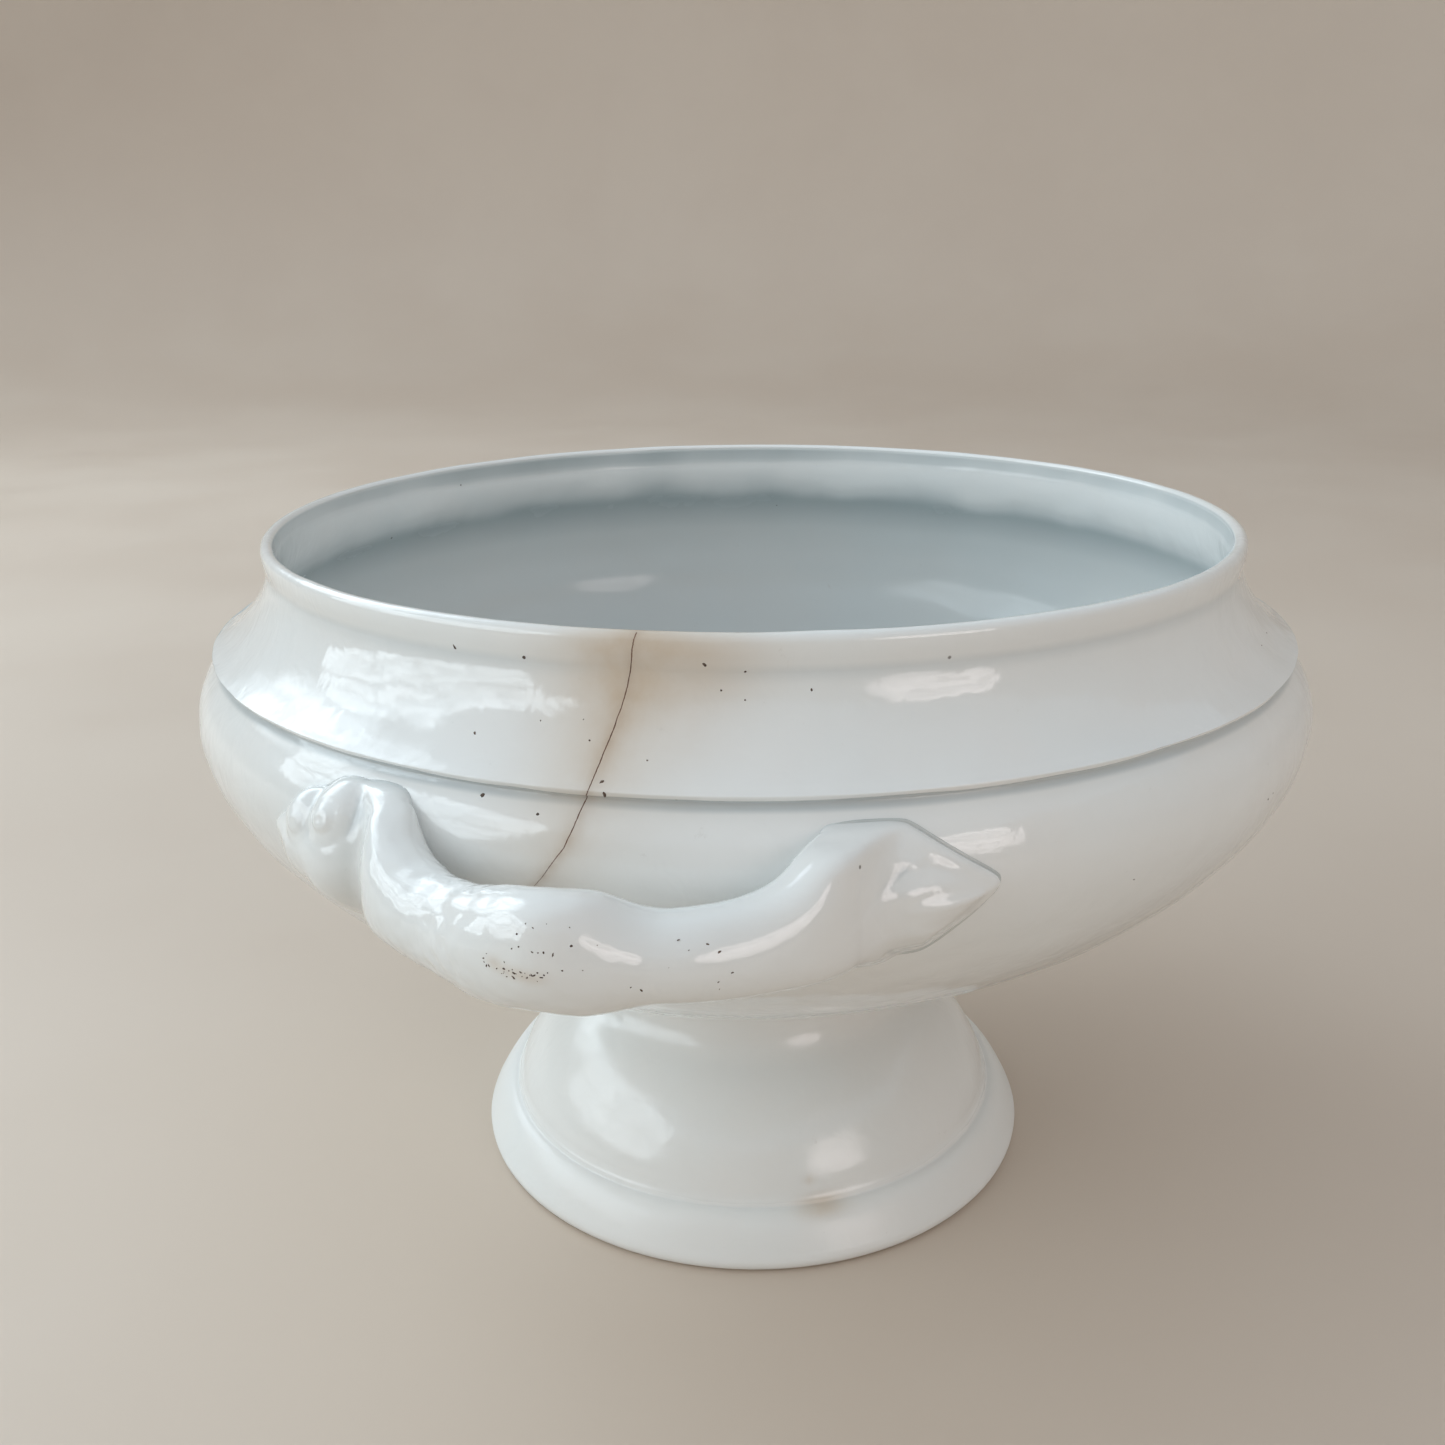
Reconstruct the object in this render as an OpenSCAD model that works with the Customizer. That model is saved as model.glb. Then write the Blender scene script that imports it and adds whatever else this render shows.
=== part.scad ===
// Footed porcelain serving bowl with two bar handles.
// Millimetres, +Z up. The origin is the centre of the foot ring's resting plane,
// and the handles lie along +X and -X.

/* [Rim and cove] */
// Outer diameter of the rim bead
rim_d = 230; // [210:1:240]
// Height of the rim above the table
bowl_h = 166.5; // [160:0.5:175]
// Thickness of the rim bead
lip_t = 4.2; // [3:0.1:6]
// Diameter of the sharp step under the cove
step_d = 255; // [250:0.5:258]
// Height of the step edge above the table
step_z = 142.5; // [140:0.5:145]
// Depth of the undercut below the step
step_depth = 2.1; // [1:0.1:3]

/* [Belly] */
// Height where the belly starts, under the step
belly_top_z = 140.5; // [139:0.1:141]
// Radius where the belly turns into the flat seat under the bowl
belly_end_r = 48.5; // [47:0.5:50]
// Height of the belly's lower end
belly_end_z = 65.2; // [64.8:0.1:66]
// Height of the flat seat that the pedestal is joined to
seat_z = 65; // [64:0.5:65]
// Wall thickness of the belly
wall_t = 5.6; // [4:0.1:7]
// Thickness of the bowl's floor
floor_t = 6.5; // [6:0.5:7]

/* [Pedestal foot] */
// Outer diameter of the foot
foot_d = 145.6; // [140:0.2:150]
// Diameter of the ridge round the foot's dome
ridge_d = 128.6; // [124:0.2:132]
// Height of the ridge
ridge_z = 14; // [12:0.5:16]
// Diameter of the neck at its narrowest
neck_d = 78; // [76:0.5:82]
// Height of the narrowest place
neck_z = 48; // [46:0.5:50]
// Diameter of the flared collar at the top
collar_d = 101; // [98:0.5:102]
// Wall thickness of the pedestal
foot_wall_t = 6; // [5:0.1:7]
// Width of the unglazed ring that the bowl rests on
foot_ring_w = 5; // [4:0.1:6]

/* [Handles] */
// Distance from the bowl's axis to the middle of each handle bar
bar_reach = 154; // [151:0.5:156]
// Height of the bar's middle
bar_z = 128; // [125:0.5:129]
// Radius of the bar beside its knuckle
bar_r = 7.1; // [6.5:0.1:8]
// Extra radius of the knuckle in the bar's middle
knuckle_swell = 2.6; // [0:0.1:3]
// Angle from the handle's middle to the centre of each leaf terminal
leaf_angle = 22; // [21:0.5:23]
// Height of the leaf terminals' centre
leaf_z = 124.5; // [122:0.5:126]
// How far the edge of a leaf stands off the wall
leaf_edge_t = 1.8; // [1.5:0.1:4]

/* [Joints] */
// Thickness of the fired slip between the pieces
slip_t = 0.8; // [0.5:0.1:1]

/* [Hidden] */

glaze = [0.87, 0.90, 0.89];
glaze_shade = [0.82, 0.86, 0.85];
slip_colour = [0.72, 0.70, 0.65];

revolve_fn = 180;
curve_steps = 18;

rim_r = rim_d / 2;
step_r = step_d / 2;
foot_r = foot_d / 2;
ridge_r = ridge_d / 2;
neck_r = neck_d / 2;
collar_r = collar_d / 2;
lip_r = lip_t / 2;

// ---- Curves ----

// Point at t on the cubic curve with the control points a, b, c and d
function curve_at(a, b, c, d, t) =
    a * pow(1 - t, 3) + 3 * b * t * pow(1 - t, 2) + 3 * c * pow(t, 2) * (1 - t) + d * pow(t, 3);

// Points along that cubic curve
function curve(a, b, c, d, steps = curve_steps) =
    [for (i = [0:steps]) curve_at(a, b, c, d, i / steps)];

// Points along an arc, from one angle to another
function arc(centre, radius, from, to, steps = 10) =
    [for (i = [0:steps])
        let (a = from + (to - from) * i / steps)
        centre + radius * [cos(a), sin(a)]];

function smooth(t) = t <= 0 ? 0 : t >= 1 ? 1 : t * t * (3 - 2 * t);

// ---- Bowl profile, as [radius, height] ----

// The rounded lip ends lip_side below its centre, and the cove starts cove_set_in inside the rim
lip_side = 1.6;
cove_set_in = 0.7;
cove_drop = 4.6;
lip_centre = [rim_r - lip_r, bowl_h - lip_r];
cove_top = [rim_r - cove_set_in, bowl_h - cove_drop];
step_edge = [step_r, step_z];
step_corner = [0.5, 1.1];
belly_start = [step_r - step_depth, belly_top_z];

// Outer belly: bulges out under the step, then runs in to the seat
belly_a = belly_start;
belly_b = belly_start + [23.9, -18.6];
belly_c = [belly_end_r + 56.7, belly_end_z + 7.2];
belly_d = [belly_end_r, belly_end_z];

cove_outside = curve(cove_top, cove_top + [-0.9, -6.5], step_edge - [7.5, -3.4], step_edge);
belly_outside = curve(belly_a, belly_b, belly_c, belly_d, 40);

// The inside follows the outside at the wall thickness, without the step
inner_rim = [rim_r - lip_t, bowl_h - lip_r - 1];
inner_shoulder = [step_r - wall_t - 1, step_z - 3];
inner_foot = [belly_end_r - 2.5, belly_end_z + wall_t + 1.4];
inner_middle = [0, seat_z + floor_t];
inner_cove = curve(inner_rim, inner_rim + [-1, -8.9], inner_shoulder + [-6.5, 9], inner_shoulder);
inner_belly = curve(inner_shoulder, inner_shoulder + [20.5, -16], inner_foot + [54.5, 6.4], inner_foot, 36);
inner_floor = curve(inner_foot, inner_foot - [15.5, 1.4], inner_middle + [20, 0], inner_middle);

bowl_profile = concat(
    arc(lip_centre, lip_r, 180, 0),
    [lip_centre + [lip_r, -lip_side]],
    cove_outside,
    [step_edge - step_corner],
    belly_outside,
    [[belly_end_r - 1, seat_z], [0, seat_z]],
    [for (i = [len(inner_floor) - 1:-1:1]) inner_floor[i]],
    [for (i = [len(inner_belly) - 1:-1:1]) inner_belly[i]],
    [for (i = [len(inner_cove) - 1:-1:0]) inner_cove[i]]
);

// Radius of the outer belly at a height, read off its own curve
belly_table = [for (i = [len(belly_outside) - 1:-1:0]) [belly_outside[i][1], belly_outside[i][0]]];
function belly_r(z) = lookup(z, belly_table);

// ---- Pedestal profile ----

// Radius of the rounded foot rim, the groove under the ridge, and the crest where dome meets neck
foot_bead = 2.4;
groove = [ridge_r + 0.9, ridge_z - 1.7];
crest = [neck_r + 3.5, neck_z - 10];
pedestal_top = seat_z - slip_t;
bore_r = neck_r - foot_wall_t;
bore_top_r = bore_r + 3;
ring_inner_r = foot_r - foot_bead - foot_ring_w;
ring_chamfer = 2.5;

pedestal_outside = concat(
    [[foot_r - foot_bead, 0]],
    arc([foot_r - foot_bead, foot_bead], foot_bead, -90, 20, 8),
    curve([foot_r - 0.4, foot_bead + 1.4], [foot_r - 2.2, 7.4], groove + [3.4, -0.6], groove, 10),
    [[ridge_r + 0.1, ridge_z - 0.5]],
    curve([ridge_r - 0.5, ridge_z], [ridge_r - 3, ridge_z + 11], crest + [7, -2.4], crest, 16),
    curve(crest, crest + [-2.4, 2.6], [neck_r, neck_z - 5], [neck_r, neck_z], 8),
    curve([neck_r, neck_z], [neck_r, neck_z + 8], [collar_r - 8, pedestal_top - 3],
          [collar_r, pedestal_top - 0.8])
);
pedestal_inside = concat(
    curve([bore_top_r, pedestal_top], [bore_r, pedestal_top - 10], [bore_r, neck_z + 8], [bore_r, neck_z], 8),
    curve([bore_r, neck_z], [bore_r, neck_z - 14],
          [ridge_r - 9, ridge_z + 16], [ridge_r - 7, ridge_z - 3], 12),
    [[ring_inner_r, ring_chamfer], [ring_inner_r, 0]]
);
pedestal_profile = concat(
    pedestal_outside,
    [[collar_r, pedestal_top]],
    pedestal_inside
);

// ---- Handles ----

ring_points = 28;
half_rings = 16;
arc_mm_per_degree = belly_r(leaf_z) * PI / 180;

// Outline of the leaf seen from outside, about its centre: [away from the bar, up]
leaf_outline = [
    [-11, 13.4], [3.6, 13.2], [11, 8], [18.6, 2.4], [16, -3], [11.6, -7.4],
    [8, -10.2], [2.5, -10.8], [-4.5, -12.4], [-10.5, -11.4], [-13, -5], [-13, 5]
];

// Distance from the leaf's centre to its outline, in the direction of an angle
function leaf_reach(a) = min([
    for (i = [0:len(leaf_outline) - 1])
        let (
            p = leaf_outline[i],
            q = leaf_outline[(i + 1) % len(leaf_outline)],
            dir = [cos(a), sin(a)],
            turn = cross(dir, q - p),
            along = turn == 0 ? -1 : -cross(dir, p) / turn,
            reach = turn == 0 ? -1 : cross(p, q - p) / turn
        )
        if (along >= 0 && along <= 1 && reach > 0) reach
]);

// Point on the bowl's wall: angle round the bowl, height, and distance off the wall
function wall_point(angle, z, off) =
    let (r = belly_r(z) + off)
    [r * cos(angle), r * sin(angle), z];

// One ring of the leaf: its scale, its distance off the wall, and its shift towards the bar
function leaf_ring(scale, off, shift = 0) = [
    for (j = [0:ring_points - 1])
        let (
            a = 360 * j / ring_points,
            reach = leaf_reach(a) * scale,
            across = reach * cos(a) - shift
        )
        wall_point(leaf_angle + across / arc_mm_per_degree, leaf_z + reach * sin(a), off)
];

// Centre line of half the bar, from inside the leaf to the handle's middle
leaf_r = belly_r(leaf_z);
root_inset = 6;
root_rise = 1.5;
shoulder = [-19.5, 42, -4];
near_middle = [-7, 16, -7];
path_d = [bar_reach, 0, bar_z];
path_c = path_d + near_middle;
path_b = path_d + shoulder;
path_a = [leaf_r * cos(leaf_angle), leaf_r * sin(leaf_angle) - root_inset, bar_z + root_rise];
function path_at(t) = curve_at(path_a, path_b, path_c, path_d, t);

// Half width and half height of the bar along that line
arm_flare = 8;
knuckle_start = 0.55;
function knuckle(t) = knuckle_swell * smooth((t - knuckle_start) / (1 - knuckle_start));
function half_width(t) = bar_r + knuckle(t);
function half_height(t) = bar_r + arm_flare * pow(1 - t, 3) + knuckle(t);

// One ring of the bar
function bar_ring(t) =
    let (
        step = 0.01,
        ahead = path_at(min(1, t + step)),
        behind = path_at(t - step),
        run = ahead - behind,
        tangent = (t > 0.99 ? [0, -1, 0] : run / norm(run)),
        side = cross(tangent, [0, 0, 1]),
        across = side / norm(side),
        upward = cross(across, tangent)
    )
    [for (j = [0:ring_points - 1])
        let (a = 360 * j / ring_points)
        path_at(t) - across * half_width(t) * cos(a) + upward * half_height(t) * sin(a)];

// How much the leaf's rings shrink, move towards the bar and lift off the wall as they turn into it,
// and how far along the half handle each of these ends
leaf_shrink = 0.3;
leaf_shift = 5;
leaf_lift = 14;
shrink_end = 0.3;
blend_end = 0.36;
lift_end = 0.45;
bar_start = 0.06;
leaf_middle = 0.05;

// Rings from the wall to the middle: the leaf's back and edge, then the leaf turning into the bar
leaf_rings = [
    leaf_ring(leaf_middle, slip_t),
    leaf_ring(0.5, slip_t),
    leaf_ring(1, slip_t),
    leaf_ring(1, slip_t + leaf_edge_t)
];
arm_rings = [
    for (i = [1:half_rings])
        let (
            s = i / half_rings,
            blend = smooth(s / blend_end),
            gone = smooth(s / shrink_end),
            off = slip_t + leaf_edge_t + leaf_lift * smooth(s / lift_end),
            flat = leaf_ring(1 - leaf_shrink * gone, off, leaf_shift * gone),
            round = bar_ring(bar_start + (1 - bar_start) * s)
        )
        [for (j = [0:ring_points - 1]) flat[j] * (1 - blend) + round[j] * blend]
];
half_handle = concat(leaf_rings, arm_rings);

// The same rings on the other side of the handle's middle, in the opposite order
function mirrored(ring) = [for (p = ring) [p[0], -p[1], p[2]]];
other_half = [for (i = [len(half_handle) - 2:-1:0]) mirrored(half_handle[i])];
handle_rings = concat(half_handle, other_half);

// Closed skin through a list of rings
module skin(rings) {
    n = len(rings[0]);
    last = (len(rings) - 1) * n;
    sides = [
        for (i = [0:len(rings) - 2], j = [0:n - 1])
            let (k = (j + 1) % n, a = i * n, b = a + n)
            each [[a + j, b + j, b + k], [a + j, b + k, a + k]]
    ];
    start_cap = [for (j = [1:n - 2]) [0, j, j + 1]];
    end_cap = [for (j = [1:n - 2]) [last, last + j + 1, last + j]];
    polyhedron(points = [for (ring = rings) each ring], faces = concat(sides, start_cap, end_cap));
}

module handle() {
    color(glaze) skin(handle_rings);
}

// Fired slip between one leaf and the wall, a little wider at the wall
slip_spread = 1.03;
module leaf_slip() {
    color(slip_colour)
        skin([
            leaf_ring(leaf_middle, 0),
            leaf_ring(0.5, 0),
            leaf_ring(slip_spread, 0),
            leaf_ring(1, slip_t),
            leaf_ring(0.5, slip_t),
            leaf_ring(leaf_middle, slip_t)
        ]);
}

module bowl_body() {
    color(glaze) rotate_extrude($fn = revolve_fn) polygon(bowl_profile);
}

module pedestal_foot() {
    color(glaze_shade) rotate_extrude($fn = revolve_fn) polygon(pedestal_profile);
}

slip_overlap = 0.4;
module foot_joint_slip() {
    color(slip_colour)
        translate([0, 0, pedestal_top])
            difference() {
                cylinder(h = slip_t, r = collar_r + slip_overlap, $fn = revolve_fn);
                translate([0, 0, -1])
                    cylinder(h = slip_t + 2, r = bore_top_r + slip_overlap, $fn = revolve_fn);
            }
}

module handle_right() {
    handle();
}

module handle_left() {
    rotate([0, 0, 180]) handle();
}

module handle_right_slip_a() {
    leaf_slip();
}

module handle_right_slip_b() {
    mirror([0, 1, 0]) leaf_slip();
}

module handle_left_slip_a() {
    rotate([0, 0, 180]) leaf_slip();
}

module handle_left_slip_b() {
    rotate([0, 0, 180]) mirror([0, 1, 0]) leaf_slip();
}

bowl_body();
pedestal_foot();
foot_joint_slip();
handle_right();
handle_left();
handle_right_slip_a();
handle_right_slip_b();
handle_left_slip_a();
handle_left_slip_b();
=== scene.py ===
import math
import bpy
import numpy as np
from mathutils import Matrix, Vector


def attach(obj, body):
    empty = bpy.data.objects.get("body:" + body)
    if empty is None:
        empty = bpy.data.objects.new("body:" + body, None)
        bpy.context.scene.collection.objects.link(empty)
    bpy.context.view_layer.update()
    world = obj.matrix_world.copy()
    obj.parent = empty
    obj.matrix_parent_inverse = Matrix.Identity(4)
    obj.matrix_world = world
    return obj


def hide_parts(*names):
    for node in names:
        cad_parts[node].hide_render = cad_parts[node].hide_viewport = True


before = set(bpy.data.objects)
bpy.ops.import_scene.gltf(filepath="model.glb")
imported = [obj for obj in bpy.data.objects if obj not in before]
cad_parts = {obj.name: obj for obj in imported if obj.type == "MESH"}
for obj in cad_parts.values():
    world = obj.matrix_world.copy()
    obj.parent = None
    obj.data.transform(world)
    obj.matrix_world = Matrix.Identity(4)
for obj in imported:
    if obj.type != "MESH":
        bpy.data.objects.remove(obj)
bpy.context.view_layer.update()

MM = 0.001  # every length below is in millimetres, and meshes are written in metres

# ---------------------------------------------------------------- sizes, as in the CAD source
RIM_R, BOWL_H, LIP_T, LIP_R = 115.0, 166.5, 4.2, 2.1
STEP_R, STEP_Z, STEP_DEPTH = 127.5, 142.5, 2.1
BELLY_TOP_Z, BELLY_END_R, BELLY_END_Z = 140.5, 48.5, 65.2
SEAT_Z, WALL_T, FLOOR_T = 65.0, 5.6, 6.5
FOOT_R, RIDGE_R, RIDGE_Z = 72.8, 64.3, 14.0
NECK_R, NECK_Z, COLLAR_R = 39.0, 48.0, 50.5
FOOT_WALL, FOOT_RING_W, FOOT_BEAD, SLIP_T = 6.0, 5.0, 2.4, 0.8
PED_TOP = SEAT_Z - SLIP_T
BAR_REACH, BAR_Z, BAR_R, KNUCKLE = 154.0, 128.0, 7.1, 2.6
LEAF_ANGLE, LEAF_Z = 22.0, 124.5


# ---------------------------------------------------------------- small maths
def bezier(a, b, c, d, t):
    """Points at t of the curve that starts at a towards b and reaches d from c."""
    t = t[:, None]
    return a * (1 - t) ** 3 + 3 * b * t * (1 - t) ** 2 + 3 * c * t * t * (1 - t) + d * t ** 3


def curve(a, b, c, d, n):
    """n points of that curve, evenly spaced in t."""
    a, b, c, d = (np.array(p, float) for p in (a, b, c, d))
    return bezier(a, b, c, d, np.linspace(0, 1, n))


def arc(centre, radius, start, end, n):
    a = np.radians(np.linspace(start, end, n))
    return np.c_[centre[0] + radius * np.cos(a), centre[1] + radius * np.sin(a)]


def smooth(t):
    """Rises from 0 to 1 as t does, level at both ends."""
    t = np.clip(t, 0, 1)
    return t * t * (3 - 2 * t)


def join(*parts):
    """One line through all the parts, without doubled points."""
    points = np.vstack([np.atleast_2d(p) for p in parts])
    keep = np.r_[True, np.linalg.norm(np.diff(points, axis=0), axis=1) > 1e-3]
    return points[keep]


def distance_along(line):
    """How far each point lies along the line from its start."""
    return np.r_[0, np.cumsum(np.linalg.norm(np.diff(line, axis=0), axis=1))]


def around(count):
    """Evenly spaced angles of one full turn."""
    return np.linspace(0, 2 * math.pi, count, endpoint=False)


def waves(points, amplitude, shortest, longest, seed, count=26):
    """A smooth random field at 3-D points, in the same unit as amplitude."""
    rng = np.random.default_rng(seed)
    total = np.zeros(len(points))
    for _ in range(count):
        direction = rng.normal(size=3)
        direction /= np.linalg.norm(direction)
        length = math.exp(rng.uniform(math.log(shortest), math.log(longest)))
        total += np.sin(points @ direction * (2 * math.pi / length) + rng.uniform(0, 2 * math.pi))
    return amplitude * total / math.sqrt(count / 2)


# ---------------------------------------------------------------- meshes
def make_mesh(name, points_mm, faces, material, attributes=None):
    """A smoothly shaded object. attributes are numbers at its points, which the material reads."""
    mesh = bpy.data.meshes.new(name)
    mesh.from_pydata((np.asarray(points_mm) * MM).tolist(), [], faces)
    mesh.update()
    mesh.polygons.foreach_set("use_smooth", [True] * len(mesh.polygons))
    for key, values in (attributes or {}).items():
        layer = mesh.attributes.new(key, "FLOAT", "POINT")
        layer.data.foreach_set("value", np.asarray(values, np.float32))
    mesh.materials.append(material)
    obj = bpy.data.objects.new(name, mesh)
    bpy.context.scene.collection.objects.link(obj)
    return obj


def finish_piece(obj, slot, *nodes):
    """Puts a piece on the one body and hides the CAD nodes that it stands for; its slot is not used."""
    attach(obj, "root")
    if nodes:
        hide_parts(*nodes)


def profile_normals(profile):
    """Unit normals to the right of the direction of travel."""
    t = np.gradient(profile, axis=0)
    t /= np.linalg.norm(t, axis=1)[:, None] + 1e-12
    return np.c_[t[:, 1], -t[:, 0]]


def hollow(profile, normal, reach):
    """How deep each profile point lies in a hollow, from its distance to the chord over a reach."""
    along = distance_along(profile)
    before = np.c_[[np.interp(along - reach, along, profile[:, i]) for i in (0, 1)]].T
    after = np.c_[[np.interp(along + reach, along, profile[:, i]) for i in (0, 1)]].T
    return (((before + after) / 2 - profile) * normal).sum(1)


POOL_REACH = 2.2  # how far to each side a hollow is looked for, where glaze pools and shade is painted


def lathe(name, profile, angles, material, displace=None, extra=None, pool_and_shade_share=1.0):
    """Turns a profile of [radius, height] about Z. Ends on the axis close to a point.

    displace moves the skin along its normals, extra gives more attributes for the material, and the
    last argument is how much blue-grey there is where glaze pools in hollows, which also paints shade into
    them.
    """
    normal = profile_normals(profile)
    n, m = len(profile), len(angles)
    cos, sin = np.cos(angles), np.sin(angles)
    radius, height = profile[:, 0][:, None], profile[:, 1][:, None]
    grid = np.stack([radius * cos, radius * sin, height + 0 * cos], axis=2)
    outward, upward = normal[:, 0][:, None], normal[:, 1][:, None]
    normals = np.stack([outward * cos, outward * sin, upward + 0 * cos], axis=2)
    flat, flat_n = grid.reshape(-1, 3), normals.reshape(-1, 3)
    if displace is not None:
        flat = flat + flat_n * displace(flat)[:, None]
    # blue-grey tint in hollows: partly pooled glaze, partly painted shade
    attributes = {"pool_and_shade": pool_and_shade_share * np.repeat(hollow(profile, normal, POOL_REACH), m)}
    if extra is not None:
        attributes.update(extra(flat))
    first_pole, last_pole = profile[0, 0] < 1e-6, profile[-1, 0] < 1e-6
    index = np.arange(n * m).reshape(n, m)
    if first_pole:
        index[0, :] = index[0, 0]
    if last_pole:
        index[-1, :] = index[-1, 0]
    faces = []
    closed = not (first_pole and last_pole)
    rows = n if closed and np.linalg.norm(profile[0] - profile[-1]) > 1e-6 else n - 1
    for i in range(rows):
        a, b = index[i], index[(i + 1) % n]
        for j in range(m):
            k = (j + 1) % m
            quad = [a[j], a[k], b[k], b[j]]
            face = [v for p, v in enumerate(quad) if v not in quad[:p]]
            if len(face) > 2:
                faces.append(face)
    used = np.unique(np.concatenate([np.array(f) for f in faces]))
    remap = np.full(n * m, -1)
    remap[used] = np.arange(len(used))
    faces = [[int(remap[v]) for v in f] for f in faces]
    attributes = {k: v[used] for k, v in attributes.items()}
    return make_mesh(name, flat[used], faces, material, attributes)


# ---------------------------------------------------------------- materials
def rgb(r, g, b):
    return (r, g, b, 1.0)


class Nodes:
    """A few short calls for building a node tree. Its patterns are laid out by the socket coords."""

    def __init__(self, tree):
        self.tree = tree
        self.coords = None

    def link(self, a, b):
        self.tree.links.new(a, b)

    def node(self, kind, **settings):
        made = self.tree.nodes.new(kind)
        for key, value in settings.items():
            setattr(made, key, value)
        return made

    def put(self, socket, value):
        if isinstance(value, bpy.types.NodeSocket):
            self.link(value, socket)
        else:
            socket.default_value = value

    def attribute(self, name):
        made = self.node("ShaderNodeAttribute", attribute_name=name, attribute_type="GEOMETRY")
        return made.outputs["Fac"]

    def maths(self, operation, a, b=0.0, clamp=False):
        made = self.node("ShaderNodeMath", operation=operation, use_clamp=clamp)
        self.put(made.inputs[0], a)
        self.put(made.inputs[1], b)
        return made.outputs[0]

    def between(self, value, low, high, to_low=0.0, to_high=1.0):
        """Goes smoothly from to_low to to_high as the value goes from low to high."""
        made = self.node("ShaderNodeMapRange", interpolation_type="SMOOTHSTEP", clamp=True)
        settings = {"Value": value, "From Min": low, "From Max": high, "To Min": to_low, "To Max": to_high}
        for socket, v in settings.items():
            self.put(made.inputs[socket], v)
        return made.outputs["Result"]

    def noise(self, scale, detail=3.0, roughness=0.5, distortion=0.0):
        made = self.node("ShaderNodeTexNoise")
        self.put(made.inputs["Vector"], self.coords)
        made.inputs["Scale"].default_value = scale
        made.inputs["Detail"].default_value = detail
        made.inputs["Roughness"].default_value = roughness
        made.inputs["Distortion"].default_value = distortion
        return made.outputs["Fac"]

    def cells(self, scale):
        """Random cells: a random number for each one, and the distance to its middle."""
        made = self.node("ShaderNodeTexVoronoi", feature="F1")
        self.put(made.inputs["Vector"], self.coords)
        made.inputs["Scale"].default_value = scale
        split = self.node("ShaderNodeSeparateColor")
        self.put(split.inputs[0], made.outputs["Color"])
        return split.outputs[0], made.outputs["Distance"]

    def mix(self, amount, a, b):
        made = self.node("ShaderNodeMix", data_type="RGBA")
        self.put(made.inputs["Factor"], amount)
        self.put(made.inputs["A"], a)
        self.put(made.inputs["B"], b)
        return made.outputs["Result"]

    def bump(self, strength, distance, height):
        made = self.node("ShaderNodeBump")
        made.inputs["Strength"].default_value = strength
        made.inputs["Distance"].default_value = distance
        self.put(made.inputs["Height"], height)
        return made.outputs["Normal"]


class MaterialNodes(Nodes):
    """The nodes of one new material, with patterns in the object's own coordinates."""

    def __init__(self, name):
        self.material = bpy.data.materials.new(name)
        self.material.use_nodes = True
        super().__init__(self.material.node_tree)
        self.tree.nodes.clear()
        out = self.node("ShaderNodeOutputMaterial")
        self.shader = self.node("ShaderNodeBsdfPrincipled")
        self.link(self.shader.outputs["BSDF"], out.inputs["Surface"])
        self.coords = self.node("ShaderNodeTexCoord").outputs["Object"]


GLAZE = rgb(0.800, 0.832, 0.828)
GLAZE_WARM = rgb(0.820, 0.822, 0.803)
# next colour: blue-grey of glaze pooled in hollows, also used as painted shade there
GLAZE_POOL_SHADE = rgb(0.44, 0.51, 0.54)
# next colour: painted shade on the bowl's inside
GLAZE_INSIDE_SHADE = rgb(0.27, 0.335, 0.35)
IRON = rgb(0.06, 0.04, 0.03)
RUST = rgb(0.30, 0.17, 0.09)
TAN = rgb(0.60, 0.50, 0.385)
BISCUIT = rgb(0.66, 0.60, 0.52)
DIRT = rgb(0.45, 0.42, 0.38)
COAT, SPECULAR = 0.18, 0.55  # weight of the clear coat over the glaze, and the glaze's own shine
SPECK_CELLS, DOT_FROM, DOT_TO = 190.0, 0.035, 0.085  # cells per metre, and a dot's edge in parts of a cell


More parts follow.
